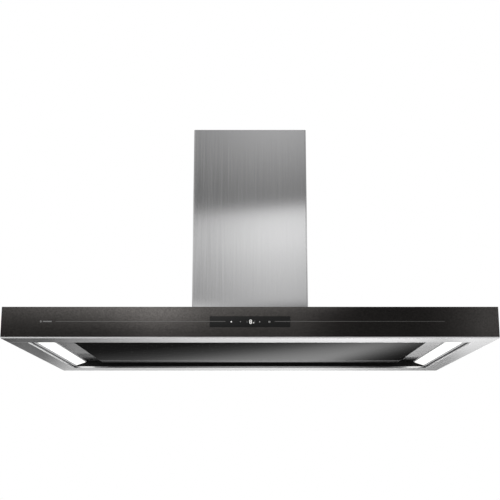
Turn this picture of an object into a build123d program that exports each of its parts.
"""Island range hood: a wide slim canopy hung from the ceiling under a telescopic square chimney.

Millimetres, +Z up, front towards -Y. The origin is the centre of the ceiling plate's top face, so that
everything hangs below zero. Each function makes one separate piece, or one group of identical pieces.
"""

from build123d import *
import math
import os

# Overall sizes
CANOPY_WIDTH = 1200
CANOPY_DEPTH = 650
CANOPY_HEIGHT = 77
CHIMNEY_HEIGHT = 535
CHIMNEY_WIDTH = 308
CHIMNEY_DEPTH = 300
HEIGHT_TRAVEL = 350  # how far the canopy can be lowered on its telescopic frame

# Heights of the canopy
TOP = -CHIMNEY_HEIGHT
BOTTOM = TOP - CANOPY_HEIGHT
LIP = 3.4  # thickness of the bottom frame
RAIL_TOP = BOTTOM + LIP
INNER_LIP_TOP = BOTTOM + 6
TRAY_BOTTOM = BOTTOM + 20
TRAY_TOP = TRAY_BOTTOM + 1
ROOF_SHEET = 1.5
ROOF_BOTTOM = TOP - ROOF_SHEET

# Outline of the canopy
HALF_WIDTH = CANOPY_WIDTH / 2
HALF_DEPTH = CANOPY_DEPTH / 2
SIDE_PANEL = 2.5
FASCIA = 2
FASCIA_X = HALF_WIDTH - SIDE_PANEL
FASCIA_Y = HALF_DEPTH - FASCIA
RAIL_X = HALF_WIDTH - 48  # inner edge of the left and right rails
RAIL_Y = HALF_DEPTH - 67  # inner edge of the front and rear rails
RAIL_LIP = 1.5
BULKHEAD = 2
BULKHEAD_X = RAIL_X - 2.3
BULKHEAD_Y = RAIL_Y - 2.5

# Light bars, along the left and right ends of the recess
LIGHT_Y = BULKHEAD_Y - 0.3
LIGHT_OUTER_X = BULKHEAD_X
LIGHT_INNER_X = 512
LIGHT_TOP = BOTTOM + 32
DIFFUSER_LOW = (543, BOTTOM + 8.6)
DIFFUSER_HIGH = (516, BOTTOM + 17.7)
DIFFUSER_WIDTH = math.dist(DIFFUSER_LOW, DIFFUSER_HIGH)
DIFFUSER_SHEET = 2.5

# Recess tray and the black suction panel that hangs in its opening
TRAY_X = LIGHT_INNER_X - 0.5
TRAY_Y = LIGHT_Y
TRAY_OPENING_X = 466
TRAY_OPENING_Y = 242
GLASS_X = 455.7
GLASS_Y = 227
GLASS_BOTTOM = BOTTOM + 12
GLASS_SHEET = 4
GLASS_TOP = GLASS_BOTTOM + GLASS_SHEET
PAN_X = 400
PAN_Y = 185
PAN_HEIGHT = 7
PAN_TOP = GLASS_TOP + PAN_HEIGHT
PANEL_AXIS_Y = 215
PANEL_AXIS_Z = BOTTOM + 32
HINGE_X = 380
HINGE_PLATE = 3
HINGE_PIN_RADIUS = 2.5
HINGE_EYE_RADIUS = 7
HINGE_RUNNING_GAP = 0.06
CATCH_X = 150

# Grease filters and the rails they rest on
FILTER_BOTTOM = BOTTOM + 36
FILTER_TOP = FILTER_BOTTOM + 10
FILTER_PITCH = 302
FILTER_HALF_WIDTH = 149
FILTER_FRONT_Y = -189.5
FILTER_REAR_Y = 196
FILTER_RAIL_X = 455
FILTER_RAIL_Y = 200
FILTER_LEDGE = 10
LATCH_FRONT_Y = -196
LATCH_REAR_Y = -168
LATCH_HALF_WIDTH = 12
LATCH_TRAVEL = 6
LATCH_GAP = 0.5

# Touch display in the front fascia, and the thin light line on each side of it
DISPLAY_X = 96.9
DISPLAY_Z = BOTTOM + 40.2
DISPLAY_HALF_HEIGHT = 13.1
DISPLAY_GAP = 0.3
DISPLAY_SHEET = 3
LINE_END_X = 469
LINE_Z = BOTTOM + 41
LINE_HALF_HEIGHT = 0.8

# Chimney covers and telescopic frame
COVER_SHEET = 1
COVER_FOLD = 3.5
COVER_GAP = 1.6
UPPER_COVER_WIDTH = CHIMNEY_WIDTH - 2 * (COVER_SHEET + COVER_GAP)
UPPER_COVER_DEPTH = CHIMNEY_DEPTH - 2 * (COVER_SHEET + COVER_GAP)
UPPER_COVER_LENGTH = 475
CEILING_GAP = 1
PLATE = 3
PLATE_BOTTOM = -PLATE
PLATE_WIDTH = UPPER_COVER_WIDTH - 2 * COVER_SHEET - 0.2
PLATE_DEPTH = UPPER_COVER_DEPTH - 2 * COVER_SHEET - 0.2
CEILING_BOLT_SPACING = 200
CEILING_BOLT_RADIUS = 4
DUCT_HOLE_RADIUS = 80
LEAD_HOLE_RADIUS = 10
GLAND_X = 78
GLAND_Y = -111
GLAND_BORE_RADIUS = 4.5
TERMINAL_BOX_HEIGHT = 34
LEG_SHEET = 2.5
UPPER_LEG_X = 146
UPPER_LEG_Y = 144
UPPER_LEG_FLANGE = 25
UPPER_LEG_BOTTOM = -500
LEG_GAP = 0.6
LOWER_LEG_X = UPPER_LEG_X - LEG_SHEET - LEG_GAP
LOWER_LEG_Y = UPPER_LEG_Y - LEG_SHEET - LEG_GAP
LOWER_LEG_FLANGE = 22
LOWER_LEG_TOP = -30
LOCK_BOLT_Y = LOWER_LEG_Y - 12
LOCK_BOLT_Z = UPPER_LEG_BOTTOM + 20
LOCK_BOLT_RADIUS = 3
LOCK_SLOT_WIDTH = 7
LOCK_SLOT_MARGIN = 10

# Blower box inside the chimney
BLOWER_X = 130
BLOWER_Y = 134
BLOWER_TOP = TOP + 310
BLOWER_SHEET = 1.5
ROOF_HOLE = 125
FAN_Y = 12
FAN_Z = TOP + 138
SCROLL_RADIUS = 100
SCROLL_STEP = 7
SCROLL_HALF_WIDTH = 64
THROAT_TOP = BLOWER_TOP - 45
SCROLL_SHEET = 1.5
INLET_RADIUS = 76
IMPELLER_RADIUS = 88
IMPELLER_INNER_RADIUS = 72
IMPELLER_HALF_WIDTH = 58
BLADE_COUNT = 32
BLADE_SHEET = 1.2
BLADE_LEAN = 35
SHAFT_RADIUS = 4
SHAFT_GAP = 0.05
MOTOR_RADIUS = 44
MOTOR_START_X = 8

# Round outlet on top of the blower box, with two damper flaps on one pin
SPIGOT_RADIUS = 75
SPIGOT_SHEET = 1.5
SPIGOT_TOP = BLOWER_TOP + 80
SPIGOT_FLANGE_RADIUS = 88
FLAP_RADIUS = 71.5
FLAP_SHEET = 1.2
FLAP_Z = BLOWER_TOP + 7
FLAP_EDGE = 5.2
FLAP_PIN_RADIUS = 2
FLAP_KNUCKLE_RADIUS = 4.5
FLAP_RUNNING_GAP = 0.06


def block(low, high):
    """A box between two opposite corners."""
    size = [b - a for a, b in zip(low, high)]
    middle = [(a + b) / 2 for a, b in zip(low, high)]
    return Pos(*middle) * Box(*size)


def wide(half_x, y0, y1, z0, z1):
    """A box that is centred on the middle plane, given by its half width."""
    return block((-half_x, y0, z0), (half_x, y1, z1))


def upright(radius, x, y, z0, z1):
    """A vertical cylinder."""
    return Pos(x, y, (z0 + z1) / 2) * Cylinder(radius, z1 - z0)


def crosswise(radius, x0, x1, y, z):
    """A cylinder along X."""
    return Pos((x0 + x1) / 2, y, z) * Rot(0, 90, 0) * Cylinder(radius, x1 - x0)


def mirrored_x(shape):
    """The same shape on the other side, left for right."""
    return mirror(shape, about=Plane.YZ)


def mirrored_y(shape):
    """The same shape on the other side, front for rear."""
    return mirror(shape, about=Plane.XZ)


def group(*shapes):
    """Separate solids that share one node."""
    return Compound([solid for shape in shapes for solid in shape.solids()])


def at_both_ends(shape):
    """A pair, left and right."""
    return group(shape, mirrored_x(shape))


def at_four_corners(shape):
    """Four of a shape, one in each corner."""
    rear = mirrored_y(shape)
    return group(shape, mirrored_x(shape), rear, mirrored_x(rear))


# ---------------------------------------------------------------- ceiling mount


def ceiling_plate():
    """Square plate with the duct hole, four bolt holes, the lead's hole and two folded flanges."""
    outline = RectangleRounded(PLATE_WIDTH, PLATE_DEPTH, COVER_FOLD)
    plate = Pos(0, 0, PLATE_BOTTOM) * extrude(outline, PLATE)
    flange = block(
        (PLATE_WIDTH / 2 - 1.5, -110, PLATE_BOTTOM - 16), (PLATE_WIDTH / 2, 110, PLATE_BOTTOM)
    )
    plate = plate + flange + mirrored_x(flange)
    plate = plate - upright(DUCT_HOLE_RADIUS, 0, 0, -20, 5)
    plate = plate - upright(LEAD_HOLE_RADIUS, GLAND_X, GLAND_Y, -20, 5)
    half = CEILING_BOLT_SPACING / 2
    for x in (-half, half):
        for y in (-half, half):
            plate = plate - upright(CEILING_BOLT_RADIUS, x, y, -20, 5)
    return plate


def angle_leg(corner_x, corner_y, flange, low, high):
    """One angle-section leg, with its outside corner at corner_x and corner_y."""
    whole = block((corner_x - flange, corner_y - flange, low), (corner_x, corner_y, high))
    inner_x = corner_x - LEG_SHEET
    inner_y = corner_y - LEG_SHEET
    hollow = block((corner_x - flange - 1, corner_y - flange - 1, low - 1), (inner_x, inner_y, high + 1))
    return whole - hollow


def upper_legs():
    """Four legs under the ceiling plate, each with a hole for its lock bolt."""
    leg = angle_leg(UPPER_LEG_X, UPPER_LEG_Y, UPPER_LEG_FLANGE, UPPER_LEG_BOTTOM, PLATE_BOTTOM)
    hole = crosswise(LOCK_BOLT_RADIUS, UPPER_LEG_X - 10, UPPER_LEG_X + 5, LOCK_BOLT_Y, LOCK_BOLT_Z)
    return at_four_corners(leg - hole)


def lower_legs():
    """Four legs on the canopy that slide inside the upper ones, each with a long slot for the lock bolt."""
    leg = angle_leg(LOWER_LEG_X, LOWER_LEG_Y, LOWER_LEG_FLANGE, TOP, LOWER_LEG_TOP)
    half = LOCK_SLOT_WIDTH / 2
    slot = block(
        (LOWER_LEG_X - 10, LOCK_BOLT_Y - half, LOCK_BOLT_Z - LOCK_SLOT_MARGIN),
        (LOWER_LEG_X + 5, LOCK_BOLT_Y + half, LOCK_BOLT_Z + HEIGHT_TRAVEL + LOCK_SLOT_MARGIN),
    )
    return at_four_corners(leg - slot)


def height_lock_bolts():
    """Four flat-headed bolts with nuts, which clamp the two sets of legs together."""
    nut_face = LOWER_LEG_X - LEG_SHEET - 0.3
    nut_end = nut_face - 5
    head = crosswise(6, UPPER_LEG_X, UPPER_LEG_X + 2, LOCK_BOLT_Y, LOCK_BOLT_Z)
    shank = crosswise(LOCK_BOLT_RADIUS, nut_end - 1, UPPER_LEG_X, LOCK_BOLT_Y, LOCK_BOLT_Z)
    hexagon = Plane.YZ * RegularPolygon(5.6, 6)
    nut = Pos(nut_end, LOCK_BOLT_Y, LOCK_BOLT_Z) * extrude(hexagon, nut_face - nut_end)
    return at_four_corners(head + shank + nut)


def cover_half(width, depth, low, high, side):
    """Half of a square chimney cover: a folded U of thin sheet, open to the back (side -1) or front (1)."""
    outside = RectangleRounded(width, depth, COVER_FOLD)
    inside = RectangleRounded(width - 2 * COVER_SHEET, depth - 2 * COVER_SHEET, COVER_FOLD - COVER_SHEET)
    tube = Pos(0, 0, low) * extrude(outside - inside, high - low)
    far = side * depth
    return tube & block((-width, min(0, far), low - 1), (width, max(0, far), high + 1))


def upper_cover(side):
    return cover_half(UPPER_COVER_WIDTH, UPPER_COVER_DEPTH, -UPPER_COVER_LENGTH, 0, side)


def lower_cover(side):
    return cover_half(CHIMNEY_WIDTH, CHIMNEY_DEPTH, TOP, -CEILING_GAP, side)


def lower_frame_tie():
    """Band around the inside of the lower legs that keeps them square."""
    half_x = LOWER_LEG_X - LEG_SHEET
    half_y = LOWER_LEG_Y - LEG_SHEET
    low = LOWER_LEG_TOP - 12
    hollow = wide(half_x - 3, 3 - half_y, half_y - 3, low - 1, LOWER_LEG_TOP + 1)
    return wide(half_x, -half_y, half_y, low, LOWER_LEG_TOP) - hollow


# ---------------------------------------------------------------- canopy shell


def canopy_top():
    """Top sheet, with the blower's opening and its bolt holes."""
    sheet = wide(FASCIA_X, -FASCIA_Y, FASCIA_Y, ROOF_BOTTOM, TOP)
    sheet = sheet - wide(ROOF_HOLE, -ROOF_HOLE, ROOF_HOLE, ROOF_BOTTOM - 1, TOP + 1)
    for x, y in blower_bolt_places():
        sheet = sheet - upright(2.5, x, y, ROOF_BOTTOM - 1, TOP + 1)
    return sheet


def front_fascia():
    """Dark front panel, with the display's window and the two slots of the light lines."""
    panel = wide(FASCIA_X, -HALF_DEPTH, -FASCIA_Y, RAIL_TOP, TOP)
    half = DISPLAY_HALF_HEIGHT + DISPLAY_GAP
    back = 1 - FASCIA_Y
    window = wide(DISPLAY_X + DISPLAY_GAP, -HALF_DEPTH - 1, back, DISPLAY_Z - half, DISPLAY_Z + half)
    slots = wide(
        LINE_END_X, -HALF_DEPTH - 1, back, LINE_Z - LINE_HALF_HEIGHT, LINE_Z + LINE_HALF_HEIGHT
    )
    return panel - window - slots


def rear_fascia():
    return wide(FASCIA_X, FASCIA_Y, HALF_DEPTH, RAIL_TOP, TOP)


def side_panel():
    return block((FASCIA_X, -HALF_DEPTH, RAIL_TOP), (HALF_WIDTH, HALF_DEPTH, TOP))


def long_rail():
    """Front rail of the bottom frame: a full-width strip with a turned-up inner edge."""
    strip = wide(HALF_WIDTH, -HALF_DEPTH, -RAIL_Y, BOTTOM, RAIL_TOP)
    return strip + wide(RAIL_X, -RAIL_Y - RAIL_LIP, -RAIL_Y, BOTTOM, INNER_LIP_TOP)


def end_rail():
    """Right rail of the bottom frame, between the two long rails."""
    strip = block((RAIL_X, -RAIL_Y, BOTTOM), (HALF_WIDTH, RAIL_Y, RAIL_TOP))
    return strip + block((RAIL_X, -RAIL_Y, BOTTOM), (RAIL_X + RAIL_LIP, RAIL_Y, INNER_LIP_TOP))


def long_bulkheads():
    """Two dark walls, front and rear, from the bottom frame up to the roof sheet."""
    wall = wide(BULKHEAD_X, BULKHEAD_Y, BULKHEAD_Y + BULKHEAD, INNER_LIP_TOP, ROOF_BOTTOM)
    return group(wall, mirrored_y(wall))


def side_bulkheads():
    """Two walls, left and right, that carry the light bars."""
    wall = block(
        (BULKHEAD_X, -BULKHEAD_Y, INNER_LIP_TOP), (BULKHEAD_X + BULKHEAD, BULKHEAD_Y, ROOF_BOTTOM)
    )
    return at_both_ends(wall)


def recess_tray():
    """Flat steel tray around the suction opening."""
    sheet = wide(TRAY_X, -TRAY_Y, TRAY_Y, TRAY_BOTTOM, TRAY_TOP)
    return sheet - wide(TRAY_OPENING_X, -TRAY_OPENING_Y, TRAY_OPENING_Y, TRAY_BOTTOM - 1, TRAY_TOP + 1)


# ---------------------------------------------------------------- lights and controls


def light_housing():
    """Right light bar's channel, open below, with a narrow bezel on its outer side."""
    sheet = 1.5
    outer = block(
        (LIGHT_OUTER_X - sheet, -LIGHT_Y, INNER_LIP_TOP + 0.6), (LIGHT_OUTER_X, LIGHT_Y, LIGHT_TOP)
    )
    roof = block((LIGHT_INNER_X, -LIGHT_Y, LIGHT_TOP - sheet), (LIGHT_OUTER_X, LIGHT_Y, LIGHT_TOP))
    inner = block(
        (LIGHT_INNER_X, -LIGHT_Y, TRAY_BOTTOM - 1), (LIGHT_INNER_X + sheet, LIGHT_Y, LIGHT_TOP)
    )
    bezel_low = INNER_LIP_TOP + 0.6
    bezel = block(
        (DIFFUSER_LOW[0] + 0.8, -LIGHT_Y, bezel_low), (LIGHT_OUTER_X, LIGHT_Y, bezel_low + sheet)
    )
    return outer + roof + inner + bezel


def tilted_bar(near, far, low, sheet, half_length):
    """A flat bar that follows the diffuser's tilt, between two distances along it, raised off it by low."""
    run = DIFFUSER_HIGH[0] - DIFFUSER_LOW[0]
    rise = DIFFUSER_HIGH[1] - DIFFUSER_LOW[1]
    along = (run / DIFFUSER_WIDTH, rise / DIFFUSER_WIDTH)
    up = (along[1], -along[0])
    corners = []
    for s, t in ((near, low), (far, low), (far, low + sheet), (near, low + sheet)):
        x = DIFFUSER_LOW[0] + along[0] * s + up[0] * t
        z = DIFFUSER_LOW[1] + along[1] * s + up[1] * t
        corners.append((x, z))
    section = Plane.XZ * make_face(Polyline(*corners, close=True))
    return Pos(0, half_length, 0) * extrude(section, 2 * half_length)


def light_diffuser():
    """Right light bar's pale cover, tilted towards the middle."""
    return tilted_bar(0, DIFFUSER_WIDTH, 0, DIFFUSER_SHEET, LIGHT_Y - 0.5)


def led_strips():
    """Two boards that carry the lamps, one above each diffuser."""
    return at_both_ends(tilted_bar(7, 21, 6, 1.6, LIGHT_Y - 10))


def led_driver():
    """Power supply of the light bars, above the left light bar."""
    case = block((-544, -160, LIGHT_TOP + 2), (-482, 60, ROOF_BOTTOM - 4))
    foot = block((-540, -172, LIGHT_TOP + 2), (-486, 72, LIGHT_TOP + 4))
    return case + foot


def electronics_box():
    """Control electronics, above the right light bar, with a folded lid."""
    case = block((480, -120, LIGHT_TOP + 2), (546, 150, ROOF_BOTTOM - 6))
    lid = block((479, -121, ROOF_BOTTOM - 14), (547, 151, ROOF_BOTTOM - 4.5))
    return case + lid


def control_glass():
    """Touch glass, set in flush with the fascia."""
    front = -HALF_DEPTH + 0.3
    return wide(
        DISPLAY_X,
        front,
        front + DISPLAY_SHEET,
        DISPLAY_Z - DISPLAY_HALF_HEIGHT,
        DISPLAY_Z + DISPLAY_HALF_HEIGHT,
    )


def control_housing():
    """Open-fronted case behind the touch glass."""
    case = wide(107, -FASCIA_Y, -FASCIA_Y + 20, DISPLAY_Z - 20, DISPLAY_Z + 20)
    cavity = wide(103, -FASCIA_Y - 1, -FASCIA_Y + 18, DISPLAY_Z - 16, DISPLAY_Z + 16)
    wings = wide(LINE_END_X, -FASCIA_Y - 1, -FASCIA_Y + 2, LINE_Z - 1.2, LINE_Z + 1.2)
    return case - cavity - wings


def control_board():
    """Circuit board with the digit module on its front."""
    back = -FASCIA_Y + 9
    board = wide(95, back - 1.6, back, DISPLAY_Z - 11, DISPLAY_Z + 11)
    digit = block((-6, back - 6, DISPLAY_Z - 8), (6, back - 1.6, DISPLAY_Z + 8))
    return board + digit


def light_lines():
    """Two thin light guides in the fascia, left and right of the display."""
    start = DISPLAY_X + DISPLAY_GAP
    guide = block(
        (start, -HALF_DEPTH, LINE_Z - LINE_HALF_HEIGHT),
        (LINE_END_X, -FASCIA_Y + 1, LINE_Z + LINE_HALF_HEIGHT),
    )
    return at_both_ends(guide)


# ---------------------------------------------------------------- blower


def blower_bolt_places():
    """Centres of the four bolts that hold the blower box down."""
    return [(x, y) for x in (-80, 80) for y in (-BLOWER_Y - 7, BLOWER_Y + 7)]


def blower_box():
    """Sheet box over the roof opening, open below, with a round hole on top and two bolted feet."""
    inner_x = BLOWER_X - BLOWER_SHEET
    inner_y = BLOWER_Y - BLOWER_SHEET
    box = wide(BLOWER_X, -BLOWER_Y, BLOWER_Y, TOP, BLOWER_TOP)
    box = box - wide(inner_x, -inner_y, inner_y, TOP - 1, BLOWER_TOP - BLOWER_SHEET)
    box = box - upright(72, 0, 0, BLOWER_TOP - 5, BLOWER_TOP + 5)
    foot = wide(110, BLOWER_Y - BLOWER_SHEET, BLOWER_Y + 12, TOP, TOP + BLOWER_SHEET)
    box = box + foot + mirrored_y(foot)
    for x, y in blower_bolt_places():
        box = box - upright(2.5, x, y, TOP - 1, TOP + 5)
    return box


def blower_bolts():
    """Four bolts through the blower box's feet and the roof sheet."""
    bolts = []
    for x, y in blower_bolt_places():
        head = upright(4.5, x, y, TOP + BLOWER_SHEET, TOP + BLOWER_SHEET + 3.5)
        bolts.append(head + upright(2.5, x, y, ROOF_BOTTOM - 5, TOP + BLOWER_SHEET))
    return group(*bolts)


def scroll_outline(grow):
    """Outline of the volute across its axis, grown outwards by one sheet or by nothing.

    Three quarter arcs whose radius grows by SCROLL_STEP each time, then a straight throat going up.
    """
    r1 = SCROLL_RADIUS + grow
    r2 = r1 + SCROLL_STEP
    r3 = r2 + SCROLL_STEP
    y2 = FAN_Y - SCROLL_STEP
    z3 = FAN_Z + SCROLL_STEP
    top = (FAN_Y + grow, FAN_Z + math.sqrt(r1**2 - grow**2))
    rear = (FAN_Y + r1, FAN_Z)
    bottom = (y2, FAN_Z - r2)
    front = (y2 - r3, z3)
    half_turn = math.sqrt(0.5)
    edges = [
        ThreePointArc(top, (FAN_Y + r1 * half_turn, FAN_Z + r1 * half_turn), rear),
        ThreePointArc(rear, (y2 + r2 * half_turn, FAN_Z - r2 * half_turn), bottom),
        ThreePointArc(bottom, (y2 - r3 * half_turn, z3 - r3 * half_turn), front),
        Line(front, (front[0], THROAT_TOP)),
        Line((front[0], THROAT_TOP), (top[0], THROAT_TOP)),
        Line((top[0], THROAT_TOP), top),
    ]
    return Plane.YZ * make_face(edges)


def scroll_half():
    """Right half of the volute: a wrap and a side plate with the inlet."""
    outside = scroll_outline(SCROLL_SHEET)
    inside = scroll_outline(0)
    wrap = extrude(outside, SCROLL_HALF_WIDTH) - extrude(inside, SCROLL_HALF_WIDTH)
    cheek = Pos(SCROLL_HALF_WIDTH, 0, 0) * extrude(outside, SCROLL_SHEET)
    inlet = crosswise(INLET_RADIUS, SCROLL_HALF_WIDTH - 5, SCROLL_HALF_WIDTH + 5, FAN_Y, FAN_Z)
    return wrap + cheek - inlet


def outlet_adapter():
    """Transition from the volute's square throat to the round outlet."""
    return adapter_body(SCROLL_SHEET) - adapter_body(0)


def adapter_body(grow):
    """Solid between the throat's rectangle and the outlet's circle."""
    front = FAN_Y - SCROLL_STEP - (SCROLL_RADIUS + 2 * SCROLL_STEP)
    middle = (front + FAN_Y) / 2
    half_x = SCROLL_HALF_WIDTH + grow
    throat = Pos(0, middle, THROAT_TOP) * Rectangle(2 * half_x, FAN_Y - front + 2 * grow)
    outlet = Pos(0, 0, BLOWER_TOP - BLOWER_SHEET) * Circle(SPIGOT_RADIUS - SPIGOT_SHEET + grow)
    return loft([throat, outlet])


def impeller():
    """Double-inlet drum: a middle disc with a hub, two end rings and a loop of leaning blades."""
    drum = crosswise(IMPELLER_RADIUS - 1, -1, 1, 0, 0)
    drum = drum + crosswise(14, -14, 2, 0, 0)
    ring = crosswise(IMPELLER_RADIUS, IMPELLER_HALF_WIDTH - 2, IMPELLER_HALF_WIDTH, 0, 0)
    ring = ring - crosswise(IMPELLER_INNER_RADIUS, 0, IMPELLER_HALF_WIDTH + 1, 0, 0)
    drum = drum + ring + mirrored_x(ring)
    length = IMPELLER_RADIUS - IMPELLER_INNER_RADIUS - 1
    middle = (IMPELLER_RADIUS + IMPELLER_INNER_RADIUS) / 2
    blade = Rot(BLADE_LEAN, 0, 0) * Box(2 * IMPELLER_HALF_WIDTH - 2, length, BLADE_SHEET)
    for step in range(BLADE_COUNT):
        drum = drum + Rot(360 * step / BLADE_COUNT, 0, 0) * Pos(0, middle, 0) * blade
    drum = drum - crosswise(SHAFT_RADIUS, -20, 20, 0, 0)
    return Pos(0, FAN_Y, FAN_Z) * drum


def motor_shaft():
    return crosswise(SHAFT_RADIUS, -16, 38, FAN_Y, FAN_Z)


def motor():
    """Motor body inside the impeller's right half, with a blind bore for the shaft."""
    body = crosswise(MOTOR_RADIUS, MOTOR_START_X, SCROLL_HALF_WIDTH + SCROLL_SHEET, FAN_Y, FAN_Z)
    body = fillet(body.edges().filter_by(GeomType.CIRCLE), 4)
    return body - crosswise(SHAFT_RADIUS + SHAFT_GAP, MOTOR_START_X - 1, 42, FAN_Y, FAN_Z)


def motor_bracket():
    """Ring with three arms that carries the motor from the volute's right cheek."""
    x0 = SCROLL_HALF_WIDTH + SCROLL_SHEET
    x1 = x0 + 2
    bracket = crosswise(30, x0, x1, 0, 0)
    for step in range(3):
        arm = block((x0, 0, -7), (x1, INLET_RADIUS + 12, 7))
        bracket = bracket + Rot(120 * step, 0, 0) * arm
    bracket = bracket - crosswise(16, x0 - 1, x1 + 1, 0, 0)
    return Pos(0, FAN_Y, FAN_Z) * bracket


def outlet_collar():
    """Round spigot for the duct, with a flange and two holes for the flaps' pin."""
    tube = upright(SPIGOT_RADIUS, 0, 0, BLOWER_TOP, SPIGOT_TOP)
    flange = upright(SPIGOT_FLANGE_RADIUS, 0, 0, BLOWER_TOP, BLOWER_TOP + 2)
    bore = upright(SPIGOT_RADIUS - SPIGOT_SHEET, 0, 0, BLOWER_TOP - 1, SPIGOT_TOP + 1)
    return tube + flange - bore - damper_pin()


def damper_pin():
    return crosswise(FLAP_PIN_RADIUS, 0.3 - SPIGOT_RADIUS, SPIGOT_RADIUS - 0.3, 0, FLAP_Z)


def damper_flap(knuckles):
    """Rear half-round flap, with knuckles around the pin at the given places along X."""
    half = FLAP_SHEET / 2
    disc = upright(FLAP_RADIUS, 0, 0, -half, half)
    flap = disc & block((-80, FLAP_EDGE, -1), (80, 80, 1))
    for x0, x1 in knuckles:
        flap = flap + block((x0, 0, -half), (x1, FLAP_EDGE + 1, half))
        flap = flap + crosswise(FLAP_KNUCKLE_RADIUS, x0, x1, 0, 0)
    flap = flap - crosswise(FLAP_PIN_RADIUS + FLAP_RUNNING_GAP, -80, 80, 0, 0)
    return Pos(0, 0, FLAP_Z) * flap


def terminal_box():
    """Small connection box on the blower box, for the supply lead."""
    return block((66, -130, BLOWER_TOP), (126, -92, BLOWER_TOP + TERMINAL_BOX_HEIGHT))


def cable_gland():
    """Gland on the terminal box that the supply lead enters."""
    base = BLOWER_TOP + TERMINAL_BOX_HEIGHT
    collar = upright(11, GLAND_X, GLAND_Y, base, base + 5)
    nut = Pos(GLAND_X, GLAND_Y, base + 5) * extrude(RegularPolygon(10, 6), 12)
    return collar + nut - upright(GLAND_BORE_RADIUS, GLAND_X, GLAND_Y, base, base + 18)


# ---------------------------------------------------------------- filters


def filter_rails():
    """Two rails, front and rear, whose ledges carry the filters."""
    ledge_low = FILTER_BOTTOM - 1.5
    web = wide(FILTER_RAIL_X, FILTER_RAIL_Y - 1.5, FILTER_RAIL_Y, ledge_low, ROOF_BOTTOM)
    ledge = wide(FILTER_RAIL_X, FILTER_RAIL_Y - FILTER_LEDGE, FILTER_RAIL_Y, ledge_low, FILTER_BOTTOM)
    rail = web + ledge
    return group(rail, mirrored_y(rail))


def grease_filter(x):
    """Flat cassette with a shallow mesh field on both faces and a guide for its latch."""
    low = (-FILTER_HALF_WIDTH, FILTER_FRONT_Y, FILTER_BOTTOM)
    high = (FILTER_HALF_WIDTH, FILTER_REAR_Y, FILTER_TOP)
    cassette = block(low, high)
    inset = FILTER_HALF_WIDTH - 14
    for z0, z1 in ((FILTER_BOTTOM - 1, FILTER_BOTTOM + 4), (FILTER_TOP - 4, FILTER_TOP + 1)):
        cassette = cassette - wide(inset, -150, FILTER_REAR_Y - 14, z0, z1)
    end = LATCH_REAR_Y + LATCH_TRAVEL + LATCH_GAP
    well = LATCH_HALF_WIDTH + LATCH_GAP
    cassette = cassette - wide(well, FILTER_FRONT_Y - 1, end, FILTER_BOTTOM - 1, FILTER_TOP + 1)
    cassette = cassette - wide(well + 2.5, FILTER_FRONT_Y + 1, end, FILTER_BOTTOM + 2.6, FILTER_BOTTOM + 6.4)
    return Pos(x, 0, 0) * cassette


def filter_latch(x):
    """Sprung latch of one filter: a tongue over the front ledge and a small pull below."""
    tongue = wide(LATCH_HALF_WIDTH, LATCH_FRONT_Y, LATCH_REAR_Y, FILTER_BOTTOM + 1, FILTER_BOTTOM + 8)
    runner = wide(LATCH_HALF_WIDTH + 2.5, -188, LATCH_REAR_Y, FILTER_BOTTOM + 3, FILTER_BOTTOM + 6)
    pull = wide(10, -176, -172, FILTER_BOTTOM - 4.5, FILTER_BOTTOM + 2)
    return Pos(x, 0, 0) * (tongue + runner + pull)


# ---------------------------------------------------------------- suction panel


def suction_glass():
    """Black glass panel under the filters."""
    glass = wide(GLASS_X, -GLASS_Y, GLASS_Y, GLASS_BOTTOM, GLASS_TOP)
    return chamfer(glass.faces().sort_by(Axis.Z)[0].edges(), 0.8)


def panel_pan():
    """Shallow steel pan glued on the glass, with two ribs and two catch tabs at the front."""
    sheet = 1
    pan = wide(PAN_X, -PAN_Y, PAN_Y, GLASS_TOP, PAN_TOP)
    pan = pan - wide(PAN_X - sheet, sheet - PAN_Y, PAN_Y - sheet, GLASS_TOP + sheet, PAN_TOP + 1)
    for y in (-60, 60):
        pan = pan + wide(PAN_X - sheet, y - 6, y + 6, GLASS_TOP, PAN_TOP - 3)
    for x in (-CATCH_X, CATCH_X):
        pan = pan + block((x - 10, -216, PAN_TOP), (x + 10, sheet - PAN_Y, PAN_TOP + 1))
    return pan


def hinge_ears():
    """Two ears on the pan that carry the hinge pins."""
    x0 = HINGE_X + HINGE_PLATE / 2 + 0.5
    x1 = x0 + HINGE_PLATE
    foot = block((x0, 145, GLASS_TOP + 1), (x1, PAN_Y - 1, PAN_TOP + 9))
    arm = block((x0, PAN_Y - 1, PAN_TOP + 0.5), (x1, PANEL_AXIS_Y, PAN_TOP + 9.5))
    eye = crosswise(HINGE_EYE_RADIUS, x0, x1, PANEL_AXIS_Y, PANEL_AXIS_Z)
    hole = crosswise(HINGE_PIN_RADIUS, x0 - 1, x1 + 1, PANEL_AXIS_Y, PANEL_AXIS_Z)
    return at_both_ends(foot + arm + eye - hole)


def hinge_pins():
    """Two pins, fixed in the ears and turning in the brackets."""
    x0 = HINGE_X - HINGE_PLATE / 2 - 2
    x1 = HINGE_X + HINGE_PLATE * 1.5 + 2
    return at_both_ends(crosswise(HINGE_PIN_RADIUS, x0, x1, PANEL_AXIS_Y, PANEL_AXIS_Z))


def hinge_brackets():
    """Two plates under the roof sheet that the panel hangs on."""
    x0 = HINGE_X - HINGE_PLATE / 2
    x1 = x0 + HINGE_PLATE
    plate = block((x0, PANEL_AXIS_Y - 8, PANEL_AXIS_Z - 7), (x1, PANEL_AXIS_Y + 8, ROOF_BOTTOM))
    foot = block((x0 - 14, PANEL_AXIS_Y - 8, ROOF_BOTTOM - 2), (x1, PANEL_AXIS_Y + 8, ROOF_BOTTOM))
    radius = HINGE_PIN_RADIUS + HINGE_RUNNING_GAP
    hole = crosswise(radius, x0 - 1, x1 + 1, PANEL_AXIS_Y, PANEL_AXIS_Z)
    return at_both_ends(plate + foot - hole)


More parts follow.
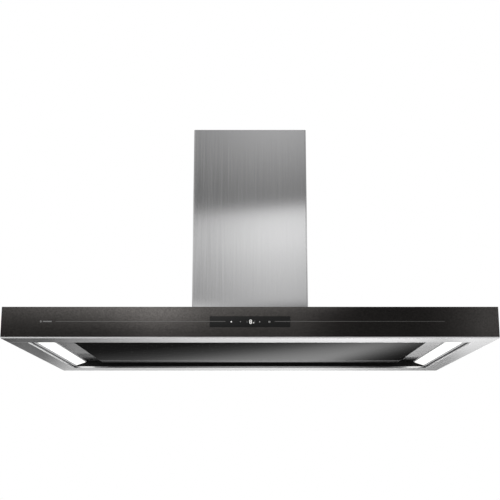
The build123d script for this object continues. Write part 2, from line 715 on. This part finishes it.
def catch_magnets():
    """Two magnetic catches that hold the panel's front edge up."""
    low = PAN_TOP + 1.4
    body = block((CATCH_X - 12, -217, low + 3), (CATCH_X + 12, -202, ROOF_BOTTOM))
    pole = block((CATCH_X - 9, -215, low), (CATCH_X + 9, -204, low + 3))
    return at_both_ends(body + pole)


def all_parts():
    """Every piece by its node's name."""
    parts = {
        "ceiling_plate": ceiling_plate(),
        "upper_legs": upper_legs(),
        "upper_chimney_front": upper_cover(-1),
        "upper_chimney_rear": upper_cover(1),
        "height_lock_bolts": height_lock_bolts(),
        "lower_legs": lower_legs(),
        "lower_frame_tie": lower_frame_tie(),
        "chimney_front": lower_cover(-1),
        "chimney_rear": lower_cover(1),
        "canopy_top": canopy_top(),
        "front_fascia": front_fascia(),
        "rear_fascia": rear_fascia(),
        "left_side_panel": mirrored_x(side_panel()),
        "right_side_panel": side_panel(),
        "front_rail": long_rail(),
        "rear_rail": mirrored_y(long_rail()),
        "left_rail": mirrored_x(end_rail()),
        "right_rail": end_rail(),
        "long_bulkheads": long_bulkheads(),
        "side_bulkheads": side_bulkheads(),
        "recess_tray": recess_tray(),
        "light_housing_left": mirrored_x(light_housing()),
        "light_housing_right": light_housing(),
        "light_diffuser_left": mirrored_x(light_diffuser()),
        "light_diffuser_right": light_diffuser(),
        "led_strips": led_strips(),
        "led_driver": led_driver(),
        "electronics_box": electronics_box(),
        "control_glass": control_glass(),
        "control_housing": control_housing(),
        "control_board": control_board(),
        "light_lines": light_lines(),
        "blower_box": blower_box(),
        "blower_bolts": blower_bolts(),
        "scroll_left": mirrored_x(scroll_half()),
        "scroll_right": scroll_half(),
        "outlet_adapter": outlet_adapter(),
        "impeller": impeller(),
        "motor_shaft": motor_shaft(),
        "motor": motor(),
        "motor_bracket": motor_bracket(),
        "outlet_collar": outlet_collar(),
        "damper_pin": damper_pin(),
        "damper_flap_front": mirrored_y(damper_flap([(-60, -40), (20, 40)])),
        "damper_flap_rear": damper_flap([(-38, -18), (42, 62)]),
        "terminal_box": terminal_box(),
        "cable_gland": cable_gland(),
        "filter_rails": filter_rails(),
        "hinge_brackets": hinge_brackets(),
        "catch_magnets": catch_magnets(),
        "suction_glass": suction_glass(),
        "panel_pan": panel_pan(),
        "hinge_ears": hinge_ears(),
        "hinge_pins": hinge_pins(),
    }
    for place, x in (("left", -FILTER_PITCH), ("middle", 0), ("right", FILTER_PITCH)):
        parts["grease_filter_" + place] = grease_filter(x)
        parts["filter_latch_" + place] = filter_latch(x)
    return parts


os.makedirs("parts", exist_ok=True)
for name, shape in all_parts().items():
    export_step(shape, "parts/" + name + ".step")
